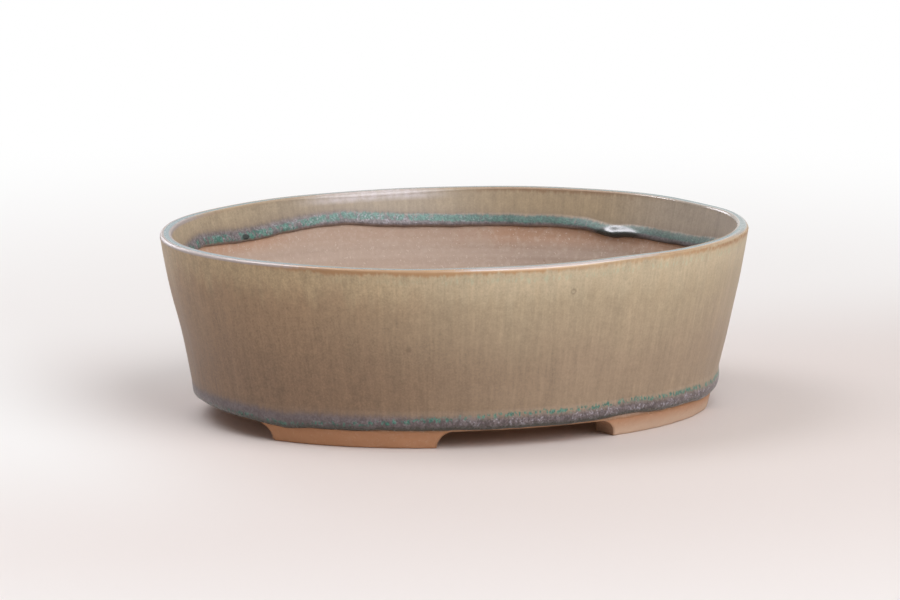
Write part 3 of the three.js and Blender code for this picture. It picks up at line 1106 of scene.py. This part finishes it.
def wall_colour(glaze, run):
    """Khaki above, browner and darker to the left and downwards, in upright runs; the darkening is partly
    painted shade.
    """
    # Darker and browner to the left: the browning is the glaze's colour, and the darkening is partly painted
    # shade.
    wall = glaze.mix(run.warm, KHAKI, LEFT_KHAKI_SHADED)
    # Darker towards the bottom: partly thicker glaze, partly painted shade near the floor.
    low = glaze.mix(glaze.fade(run.drift, -90.0, 70.0), LOW_KHAKI_SHADED, LOW_BROWN_SHADED)
    low_run_and_shade = glaze.rise(run.fall + run.cloud * 26.0 + run.streak * 16.0, 8.0, 62.0)
    wall = glaze.mix(low_run_and_shade * 0.75, wall, low)
    high = glaze.mix(run.warm, HIGH_KHAKI, HIGH_LEFT_SHADED)
    high_run = glaze.fade(run.fall + run.streak * 24.0 + run.cloud * 16.0, 4.0, 22.0)
    wall = glaze.mix(high_run * 0.7, wall, high)
    wall = glaze.mix(run.within * 0.85, wall, lining_colour(glaze, run))
    coarse = run.streak * 0.42 + run.thread * 0.34
    fine = run.mottle * 0.34 + run.grain * 0.5
    wall = glaze.scaled(wall, 1.0 + coarse + fine * (1.0 + run.warm * 0.6))
    green = glaze.band(run.fall + run.tick * 6.0, 5.0, 7.4, 1.0) * glaze.rise(run.thread, -0.08, 0.16)
    green = green * (1.0 - run.warm) * run.outer
    return glaze.mix(green * 0.4, wall, GREEN_RUN)


# %% Glaze: rust below the rim
RUST = srgb(180, 138, 94)
WARM_RUST = srgb(160, 118, 78)
RIGHT_RUST = srgb(152, 107, 62)
INNER_RUST = srgb(130, 96, 66)
RIGHT_WASH = srgb(180, 148, 106)


def rust_colour(glaze, run, colour):
    """Amber where the coat thins out below the edge, broken into dashes at the right."""
    depth = 2.8 + run.cloud * 2.5 + run.streak * 2.5 - run.within * 1.4
    depth = depth + glaze.rise(run.along, 60.0, 130.0) * 0.6
    below = run.fall - depth
    amber = glaze.fade(below + run.tick * 4.0 + run.thread * 2.0, -0.9, 1.1)
    amber = amber * glaze.rise(run.along + run.tick * 40.0, -135.0, -108.0)
    amber = amber * (1.0 - run.within * (1.0 - glaze.band(run.along, 55.0, 125.0, 20.0) * 0.8))
    right_rim = glaze.rise(run.along + run.tick * 30.0, 62.0, 104.0) * run.outer
    dash = glaze.rise(run.tick * 0.5 + run.thread * 0.5, -0.07, 0.01)
    dash = dash * glaze.rise(below + run.thread * 1.6, -2.3, -1.3)
    amber = amber * (1.0 - right_rim * (1.0 - dash) * 0.8)
    wash = glaze.fade(run.fall, 2.5, 8.0) * glaze.rise(run.along, 80.0, 140.0) * run.outer
    colour = glaze.mix(wash * 0.6, colour, RIGHT_WASH)
    burnt = glaze.mix(run.warm, RUST, WARM_RUST)
    burnt = glaze.mix(glaze.rise(run.along, 80.0, 120.0), burnt, RIGHT_RUST)
    burnt = glaze.mix(run.within, burnt, INNER_RUST)
    thin = glaze.band(run.along, 10.0, 75.0, 15.0) * run.outer
    return glaze.mix(amber * (0.85 - thin * 0.35), colour, burnt)


# %% Glaze: the rim's edges
WORN_EDGE = srgb(178, 146, 116)
PAINTED_HIGHLIGHT_EDGE = srgb(192, 180, 178)
LEFT_EDGE_AND_REFLECTION = srgb(168, 158, 162)
RIGHT_EDGE = srgb(176, 160, 152)
PAINTED_SHEEN = srgb(206, 196, 196)


def edge_colour(glaze, run, colour):
    """Thin and pale on the rim's edges, partly as painted highlight and reflection, with a painted sheen at
    the back.
    """
    thick_edge = glaze.band(run.along + run.tick * 20.0, -112.0, -45.0, 12.0) * run.outer
    run.bevel = glaze.fade(run.fall + run.grain * 0.6 - run.warm * 0.8, 0.5, 1.2)
    run.bevel = run.bevel * (1.0 - thick_edge * 0.8)
    run.left_edge = glaze.fade(run.along + run.tick * 30.0, -125.0, -92.0)
    # On the front edge, where a lamp's highlight falls, the colour is paled as a painted highlight.
    run.pale_edge = glaze.band(run.along + run.tick * 20.0, -42.0, 60.0, 12.0) * run.outer
    run.right_tip = glaze.rise(run.along, 112.0, 140.0)
    worn = glaze.mix(run.pale_edge, WORN_EDGE, PAINTED_HIGHLIGHT_EDGE)
    # At the left end the edge is pale lavender, partly thin glaze and partly painted reflection of the room.
    worn = glaze.mix(run.left_edge, worn, LEFT_EDGE_AND_REFLECTION)
    worn = glaze.mix(run.right_tip, worn, RIGHT_EDGE)
    worn_share = 0.7 + run.pale_edge * 0.2 - run.within * (1.0 - run.left_edge) * 0.4
    colour = glaze.mix(run.bevel * worn_share, colour, worn)
    # Painted sheen: a lighter lavender band at the top of the inner back wall, where a lamp's highlight
    # falls.
    painted_sheen = glaze.rise(run.fall, -0.2, 0.2) * glaze.fade(run.fall, 3.0, 6.0) * run.within
    at_back = glaze.rise(glaze.part(run.lap, "Y"), 0.0, 40.0)
    painted_sheen = painted_sheen * glaze.band(run.along, -35.0, 30.0, 18.0) * at_back
    return glaze.mix(painted_sheen * (0.75 + run.mottle * 1.6), colour, PAINTED_SHEEN)


# %% Glaze: the rim's top
LEFT_POOL_AND_REFLECTION = srgb(124, 148, 154)
RIM_POOL_AND_REFLECTION = srgb(106, 132, 134)


def pool_and_reflection_colour(glaze, run, colour):
    """Blue-grey on the rim's top, partly pooled glaze and partly painted reflection, spilling over at the
    right tip.
    """
    run.rim_top = glaze.band(run.within, 0.12, 0.88, 0.1)
    spilled = glaze.fade(run.fall, 0.15, 0.7) * run.right_tip * run.outer
    run.rim_top = run.rim_top + (1.0 - run.rim_top) * spilled
    # The blue-grey is partly pooled glaze and partly a painted reflection of the bright room, and it is
    # lighter at the left end.
    pool_and_reflection = glaze.mix(glaze.rise(run.along, -145.0, -95.0), LEFT_POOL_AND_REFLECTION, RIM_POOL_AND_REFLECTION)
    return glaze.mix(run.rim_top * 0.9, colour, pool_and_reflection)


# %% Glaze: grey-violet where it gathers
DARK_ABOVE_ROLLS = srgb(112, 95, 86)
DARK_VIOLET = srgb(82, 72, 72)
GREY_VIOLET = srgb(120, 109, 111)


def gathered_colour(glaze, run, colour):
    """Darker towards the two rolls, and grey-violet in them."""
    run.right_side = glaze.rise(run.along, -10.0, 85.0) * run.within
    run.right_end = glaze.rise(run.along, 95.0, 135.0) * run.within
    run.left_end = glaze.fade(run.along, -65.0, 5.0)
    run.left_base = run.warm * run.outer
    right_base = (1.0 - run.warm) * run.outer
    over_edge = run.height + run.within + run.right_side * 1.6 + right_base * 1.5
    # Darker above the rolls.
    colour = glaze.mix(glaze.fade(over_edge, 7.0, 14.0) * 0.3, colour, DARK_ABOVE_ROLLS)
    grey_share = glaze.rise(run.fleck + run.speck * 0.7 + run.blotch * 0.6, -0.20, 0.24)
    grey_share = grey_share + (0.45 - grey_share) * run.left_base * 0.5
    violet = glaze.mix(grey_share, DARK_VIOLET, GREY_VIOLET)
    violet = glaze.scaled(violet, 1.0 - run.right_end * 0.2 - run.right_side * 0.2)
    return glaze.mix(glaze.fade(over_edge, 6.0, 10.0), colour, violet)


# %% Glaze: teal in the rolls
DARK_TEAL = srgb(44, 95, 83)
TEAL = srgb(74, 132, 117)


def teal_colour(glaze, run, colour):
    """Teal patches along the upper side of the rolls."""
    teal_from = 6.7 - run.within * (2.7 + run.left_end * 2.6) - run.left_base * 4.9
    teal_from = teal_from + run.right_end * 0.6 - run.right_side * 1.5
    over = run.height - teal_from
    over_top = over - run.within * (1.2 + run.left_end * 0.4)
    teal_band = glaze.rise(over, -0.8, 0.5) * glaze.fade(over_top, 1.2, 2.6)
    feather = glaze.noise(glaze.stretched(run.lap, 0.5, 0.34), rough=0.6)
    broad = glaze.noise(glaze.stretched(run.lap, 0.24, 0.2), rough=0.55)
    feather = feather + (broad - feather) * run.within * 0.6
    patch = glaze.rise(feather + run.within * 0.06 - run.warm * 0.05 + run.right_side * 0.1, -0.06, 0.08)
    teal = glaze.mix(glaze.rise(run.fleck + run.speck * 0.6, -0.16, 0.20), DARK_TEAL, TEAL)
    teal = glaze.scaled(teal, 1.0 - run.right_side * 0.42)
    return glaze.mix(teal_band * patch * (0.92 - run.right_end * 0.2), colour, teal)


# %% Glaze: crystals and the dark lip of the rolls
CRYSTAL = srgb(172, 168, 178)
OUTER_LIP = srgb(62, 64, 55)
INNER_LIP = srgb(136, 113, 98)
RIGHT_LIP = srgb(84, 72, 66)


def crystal_colour(glaze, run, colour):
    """Pale crystals in the body of the rolls, fewer at the ends."""
    crystal = glaze.rise(glaze.noise(run.spot, 0.95, 1.0), 0.03, 0.16)
    crystal = crystal * glaze.rise(run.blotch, -0.08, 0.08) * glaze.band(run.height, 1.8, 6.0, 0.8)
    crystal = crystal * (1.0 - run.left_base * 0.6) * (1.0 - run.right_side * 0.9)
    return glaze.mix(crystal * (1.0 - run.left_end * 0.5) * 0.75, colour, CRYSTAL)


def lip_colour(glaze, run, colour):
    """The dark glassy lip that the glaze ends in."""
    run.glass = glaze.fade(run.lip + run.tick * 1.8, 0.8, 4.0 - run.within * 2.0)
    inner_lip = glaze.mix(glaze.rise(run.along, 100.0, 145.0), INNER_LIP, RIGHT_LIP)
    dark_lip = glaze.mix(run.within, OUTER_LIP, inner_lip)
    return glaze.mix(run.glass * (0.85 - run.within * 0.35), colour, dark_lip)


# %% Glaze: places of the drop, a bead, a pinhole and a bubble
def on_wall(face, degrees, fall, inwards):
    """A point in millimetres, by its angle, its fall from the rim and how far inwards of a face it is."""
    turn, z = math.radians(degrees), HEIGHT - fall
    inset = float(face(z)) + inwards
    return ((HALF_LENGTH - inset) * math.cos(turn), (HALF_WIDTH - inset) * math.sin(turn), z)


DRIP_AT = on_wall(inside, degrees=DRIP_PLACE, fall=20.2, inwards=2.0)
BEAD_AT = on_wall(inside, degrees=124.7, fall=15.4, inwards=1.0)
PINHOLE_AT = on_wall(outside, degrees=276.1, fall=14.0, inwards=-0.5 * BELLY)
BUBBLE_AT = on_wall(outside, degrees=243.8, fall=40.6, inwards=-BELLY)
print("the drop lies at", [round(v, 1) for v in DRIP_AT])

# %% Glaze: single marks
DRIP_SIZE = (15.5, 15.5, 4.4)
BEAD_SIZE = (3.4, 3.4, 1.7)
PIT_SIZE = (2.0, 2.0, 2.0)
PIT_FLOOR_SIZE = (1.1, 1.1, 1.1)
BUBBLE_SIZE = (2.2, 2.2, 2.6)
DARK_GLASS = srgb(36, 38, 34)
BEAD_GLASS = srgb(14, 28, 22)
PIT_EDGE = srgb(112, 98, 76)
BUBBLE_BROWN = srgb(96, 78, 62)


def mark_colour(glaze, run, colour):
    """The few single marks that this firing left."""
    run.drip = glaze.near(run.spot, DRIP_AT, DRIP_SIZE, 0.65) * run.within
    run.bead = glaze.near(run.spot, BEAD_AT, BEAD_SIZE, 0.6) * run.within
    run.pit_floor = glaze.near(run.spot, PINHOLE_AT, PIT_FLOOR_SIZE, 0.4)
    run.bubble = glaze.near(run.spot, BUBBLE_AT, BUBBLE_SIZE, 0.2)
    pit_edge = glaze.near(run.spot, PINHOLE_AT, PIT_SIZE, 0.5) - run.pit_floor
    colour = glaze.mix(run.drip * 0.9, colour, DARK_GLASS)
    colour = glaze.mix(run.bead * 0.95, colour, BEAD_GLASS)
    colour = glaze.mix(pit_edge * 0.45, colour, PIT_EDGE)
    return glaze.mix(run.bubble * 0.4, colour, BUBBLE_BROWN)


# %% Glaze: gloss and fine relief
SATIN = 0.44


def gloss(glaze, run, pooled):
    """Roughness: satin on the wall, smoother on the rim and in the glassy marks."""
    dry_edge = run.within * glaze.fade(run.along, 120.0, 140.0)
    polish = 0.22 + run.within * 0.12 - dry_edge * 0.48
    polish = polish - run.left_edge * run.outer * 0.17 + run.pale_edge * 0.08
    rough = SATIN - run.rim_top * 0.18 - run.bevel * polish - run.glass * 0.06
    rough = rough - pooled * (0.12 - run.within * 0.22) - run.drip * 0.36 - run.bead * 0.4
    return rough + pooled * run.right_end * 0.15 + run.mottle * 0.14


def unevenness(run, pooled):
    """Height of the fine relief: runs and grain, pebbled in the rolls and smooth on the drop."""
    surface = run.grain * 0.22 + run.streak * 0.8 + run.thread * 0.3
    surface = surface + run.speck * pooled * (1.0 - run.glass) * 1.2
    return surface * (1.0 - run.drip * 0.9) + run.bubble * 1.5 - run.pit_floor * 1.5


# %% Glaze: the finished material
GLAZE_LAYERS = (
    rust_colour, edge_colour, pool_and_reflection_colour, gathered_colour,
    teal_colour, crystal_colour, lip_colour, mark_colour,
)


def fired_glaze():
    """The glaze, from the wall's coat through every layer that lies over it."""
    glaze = Finish("fired_glaze")
    run = glaze_runs(glaze)
    colour = wall_colour(glaze, run)
    for layer in GLAZE_LAYERS:
        colour = layer(glaze, run, colour)
    pooled = glaze.fade(run.height, 4.0, 9.0)
    glaze.into("Base Color", colour)
    glaze.into("Roughness", gloss(glaze, run, pooled))
    glaze.into("Normal", glaze.relief(unevenness(run, pooled)))
    return glaze.material


glaze_material = fired_glaze()
for piece in (outer_coat, base_roll, rim_band, lining, inner_roll):
    piece.data.materials.append(glaze_material)
print("glaze nodes:", len(glaze_material.node_tree.nodes))

# %% [markdown]
# ## Bare clay
# Where no glaze came, the stoneware is dry and matt: pinkish tan inside, toasted to orange on the feet, with
# pale and dark grains of grog in it. Cells could draw the grog, but cells are even in size. The peaks of a
# fine noise give grains of many sizes, and they stand out a little, because fired clay shrinks round its
# grains. One function serves both clays, and what differs between them is given by name.

# %% How bare clay looks
CLAY_ROUGHNESS = 0.9
CLAY_SPECULAR = 0.25
UNDERSIDE_FADE = 3.0
SHADED_UNDERSIDE_CLAY = srgb(168, 126, 94)
SHADED_COVE_CLAY = srgb(126, 92, 68)
DARK_GROG = srgb(116, 84, 62)


def bare_clay(name, ground, toasted, pale, toast, cool_middle, cool_right, shade_right, grog, underside):
    """Dry clay that changes from ground to toasted between the two heights of toast."""
    clay = Finish(name)
    spot = clay.scaled(clay.place(), 1.0 / MM)
    height = clay.part(spot, "Z")
    cloud = clay.noise(spot, 0.05, 3.0, 0.55)
    mottle = clay.noise(spot, 0.35, 4.0, 0.6)
    grain = clay.noise(spot, 2.0, 2.0, 0.6)
    drift = clay.part(spot, "X") + cloud * 60.0
    middle = clay.band(drift, -55.0, 50.0, 20.0) * cool_middle
    right = clay.rise(drift, -60.0, 60.0) * cool_right
    toast_share = clay.rise(height + cloud * 3.0 - right, *toast) * (1.0 - middle)
    colour = clay.mix(toast_share, ground, toasted)
    # Darker towards the right end, as painted shade.
    colour = clay.scaled(colour, 1.0 - clay.rise(drift, 0.0, 100.0) * shade_right)
    # The slab's underside is darker: partly toasted clay, partly painted shade under the pot.
    under_slab_shade = clay.fade(height, SLAB_UNDER, SLAB_UNDER + UNDERSIDE_FADE)
    colour = clay.mix(under_slab_shade * underside, colour, SHADED_UNDERSIDE_CLAY)
    # The scooped ends of the feet are painted darker as shade.
    colour = clay.mix(clay.kept("cove") * 0.6, colour, SHADED_COVE_CLAY)
    colour = clay.mix(clay.rise(mottle, -0.05, 0.25) * grog * 0.5, colour, pale)
    grog_pale = clay.rise(clay.noise(spot, 0.9, 1.0), 0.16, 0.23)
    grog_dark = clay.rise(clay.noise(clay.stretched(spot, 1.0, 1.07), 0.8, 1.0), 0.22, 0.27)
    colour = clay.mix(grog_pale * grog, colour, pale)
    colour = clay.mix(grog_dark * 0.2, colour, DARK_GROG)
    clay.into("Base Color", colour)
    clay.into("Roughness", CLAY_ROUGHNESS)
    clay.into("Specular IOR Level", CLAY_SPECULAR)
    clay.into("Normal", clay.relief(grain * 0.6 + grog_pale * grog + mottle * 0.8))
    return clay.material


# %% Clay finishes
inside_clay = bare_clay(
    "inside_clay", ground=srgb(190, 169, 155), toasted=srgb(190, 153, 129), pale=srgb(216, 202, 190),
    toast=(SILL_FOOT - 9.0, SILL_FOOT + 2.0), cool_middle=0.7, cool_right=-5.0, shade_right=0.12,
    grog=0.55, underside=1.0,
)
foot_clay = bare_clay(
    "foot_clay", ground=srgb(189, 161, 139), toasted=srgb(176, 129, 96), pale=srgb(198, 168, 144),
    toast=(-8.0, 1.0), cool_middle=0.0, cool_right=9.0, shade_right=0.0,
    grog=0.25, underside=0.0,
)
for piece in (wall, coil, slab):
    piece.data.materials.append(inside_clay)
for piece in feet.values():
    piece.data.materials.append(foot_clay)
print("clay nodes:", len(inside_clay.node_tree.nodes))

# %% [markdown]
# ## The floor
# The pot stands on a plain pale floor that runs out to white. A curved backdrop could do that, but its bend
# shows in other views. Here the floor is one flat sheet, and its finish mixes in plain white for the camera,
# far from the pot, and also behind it and at its left, where this is painted light over part of the pot's
# shadow. From below, and to the light of the lamp under it, the sheet is clear, so that the pot's underside
# can be looked at.

# %% Floor finish
FLOOR_COLOUR = srgb(222, 211, 207)
WHITE = (1.0, 1.0, 1.0, 1.0)
FLOOR_ROUGHNESS = 0.7
WHITE_FAR = (0.22, 0.9)
WHITE_BACK = (0.02, 0.30)
BACK_SHARE = 0.45
WHITE_LEFT = (-0.24, -0.12)
LEFT_FRONT = (-0.30, 0.02)
LEFT_SHARE = 0.68


def pale_floor():
    """The floor's finish, with places in metres from under the middle of the pot."""
    ground = Finish("pale_floor")
    ground.into("Base Color", FLOOR_COLOUR)
    ground.into("Roughness", FLOOR_ROUGHNESS)
    spot = ground.place()
    sideways = ground.part(spot, "X")
    behind = ground.part(spot, "Y")
    far_away = ground.rise(ground.vector("LENGTH", {0: spot}, "Value"), *WHITE_FAR)
    # Behind the pot and at its left, white is mixed in over part of the pot's shadow as painted light.
    at_back = ground.rise(behind, *WHITE_BACK) * BACK_SHARE
    painted_light_left = ground.fade(sideways, *WHITE_LEFT) * ground.rise(behind, *LEFT_FRONT) * LEFT_SHARE
    whiteness = 1.0 - (1.0 - far_away) * (1.0 - at_back) * (1.0 - painted_light_left)
    seen = ground.node("ShaderNodeLightPath", output="Is Camera Ray")
    white = ground.node("ShaderNodeEmission", None, {"Color": WHITE, "Strength": 1.0})
    near_floor = Value(ground, ground.shader.outputs[0])
    faded = ground.node("ShaderNodeMixShader", None, {0: whiteness * seen, 1: near_floor, 2: white})
    from_below = ground.node("ShaderNodeNewGeometry", output="Backfacing")
    to_lamp = ground.node("ShaderNodeLightPath", output="Is Shadow Ray")
    openness = 1.0 - (1.0 - from_below) * (1.0 - to_lamp)
    clear = ground.node("ShaderNodeBsdfTransparent")
    one_sided = ground.node("ShaderNodeMixShader", None, {0: openness, 1: faded, 2: clear})
    ground.feed(ground.tree.nodes["Material Output"].inputs["Surface"], one_sided)
    return ground.material


# %% Floor
FLOOR_REACH = 6.0
FLOOR_LEVEL = -0.02 * MM
FLOOR_CORNERS = ((-1, -1), (1, -1), (1, 1), (-1, 1))
floor_mesh = bpy.data.meshes.new("floor")
corners = [(x * FLOOR_REACH, y * FLOOR_REACH, FLOOR_LEVEL) for x, y in FLOOR_CORNERS]
floor_mesh.from_pydata(corners, [], [(0, 1, 2, 3)])
floor_mesh.materials.append(pale_floor())
floor = bpy.data.objects.new("floor", floor_mesh)
bpy.context.scene.collection.objects.link(floor)
print(f"floor reaches {FLOOR_REACH:.0f} m each way")

# %% [markdown]
# ## Light
# A picture of the room could light the pot, but plain lamps are easier to reason about. One big soft lamp
# stands in front to the right and above, and a weaker one behind. A white room fills in the rest: it looks
# white to the camera and in reflections, and lights the clay with a third of that. Three lamps only give
# highlights: one from the front, one from the left behind and one from low behind. A weak lamp under the
# floor shows the underside.

# %% White room
ROOM_LIGHT = 0.32
world = bpy.data.worlds.new("white_room")
world.use_nodes = True
bpy.context.scene.world = world
room = Graph(world.node_tree)
sky = room.tree.nodes["Background"]
unseen = 1.0
for ray in ("Is Camera Ray", "Is Glossy Ray", "Is Transmission Ray"):
    unseen = unseen * (1.0 - room.node("ShaderNodeLightPath", output=ray))
room.feed(sky.inputs["Color"], WHITE)
room.feed(sky.inputs["Strength"], 1.0 - unseen * (1.0 - ROOM_LIGHT))
print("room light on the pot:", ROOM_LIGHT)


# %% A soft lamp
def soft_lamp(name, bearing, rise, distance, size, energy):
    """A round soft lamp that looks at the pot from a bearing and a rise in degrees."""
    data = bpy.data.lights.new(name, "AREA")
    data.shape = "DISK"
    data.size = size
    data.energy = energy
    lamp = bpy.data.objects.new(name, data)
    bpy.context.scene.collection.objects.link(lamp)
    turn, up = math.radians(bearing), math.radians(rise)
    lamp.location = distance * Vector((
        math.cos(turn) * math.cos(up), math.sin(turn) * math.cos(up), math.sin(up)
    ))
    lamp.rotation_mode = "QUATERNION"
    lamp.rotation_quaternion = (-lamp.location).to_track_quat("-Z", "Y")
    print(f"{name}: {energy} W from {distance} m")
    return lamp


# %% Lamps
GLINT_COLOUR = (0.94, 0.92, 1.0)
soft_lamp("key_lamp", bearing=-66.0, rise=42.0, distance=2.2, size=2.4, energy=39.0)
soft_lamp("back_lamp", bearing=150.0, rise=60.0, distance=2.0, size=1.4, energy=12.0)
glints = (
    soft_lamp("front_glint", bearing=-64.0, rise=46.0, distance=2.0, size=1.4, energy=44.0),
    soft_lamp("back_glint", bearing=155.0, rise=58.0, distance=2.0, size=1.1, energy=54.0),
    soft_lamp("rim_glint", bearing=104.0, rise=22.0, distance=2.0, size=0.9, energy=11.0),
)
for glint in glints:
    glint.visible_diffuse = False
    glint.data.color = GLINT_COLOUR
under_lamp = soft_lamp("under_lamp", bearing=0.0, rise=-90.0, distance=0.1, size=0.18, energy=0.03)
under_lamp.visible_camera = False
under_lamp.visible_glossy = False

# %% [markdown]
# ## The camera
# The camera could be placed by eye, but a pot's ovals give a wrong height away at once. It was found by
# fitting the rim's ovals, the wall's outlines and the feet together: it is far away with a long lens, ten
# degrees above the level and twenty degrees to the left of the pot's front.

# %% Camera
CAMERA_TURN = 0.35415
CAMERA_PITCH = 0.17501
CAMERA_BACK = 3437.2 * MM
CAMERA_ASIDE = -3.15 * MM
CAMERA_HEIGHT = 662.07 * MM
LENS = 280.0
SENSOR_WIDTH = 36.0
SIGHT = 50.0
camera_data = bpy.data.cameras.new("photo_camera")
camera_data.lens = LENS
camera_data.sensor_width = SENSOR_WIDTH
camera_data.clip_end = SIGHT
camera = bpy.data.objects.new("photo_camera", camera_data)
bpy.context.scene.collection.objects.link(camera)
turn_cos, turn_sin = math.cos(CAMERA_TURN), math.sin(CAMERA_TURN)
camera.location = (
    CAMERA_ASIDE * turn_cos - CAMERA_BACK * turn_sin,
    -CAMERA_ASIDE * turn_sin - CAMERA_BACK * turn_cos,
    CAMERA_HEIGHT,
)
look = Vector((
    math.cos(CAMERA_PITCH) * turn_sin, math.cos(CAMERA_PITCH) * turn_cos, -math.sin(CAMERA_PITCH)
))
camera.rotation_mode = "QUATERNION"
camera.rotation_quaternion = look.to_track_quat("-Z", "Y")
bpy.context.scene.camera = camera
bpy.context.scene.view_settings.view_transform = "Standard"
print("camera at", [round(v, 3) for v in camera.location])
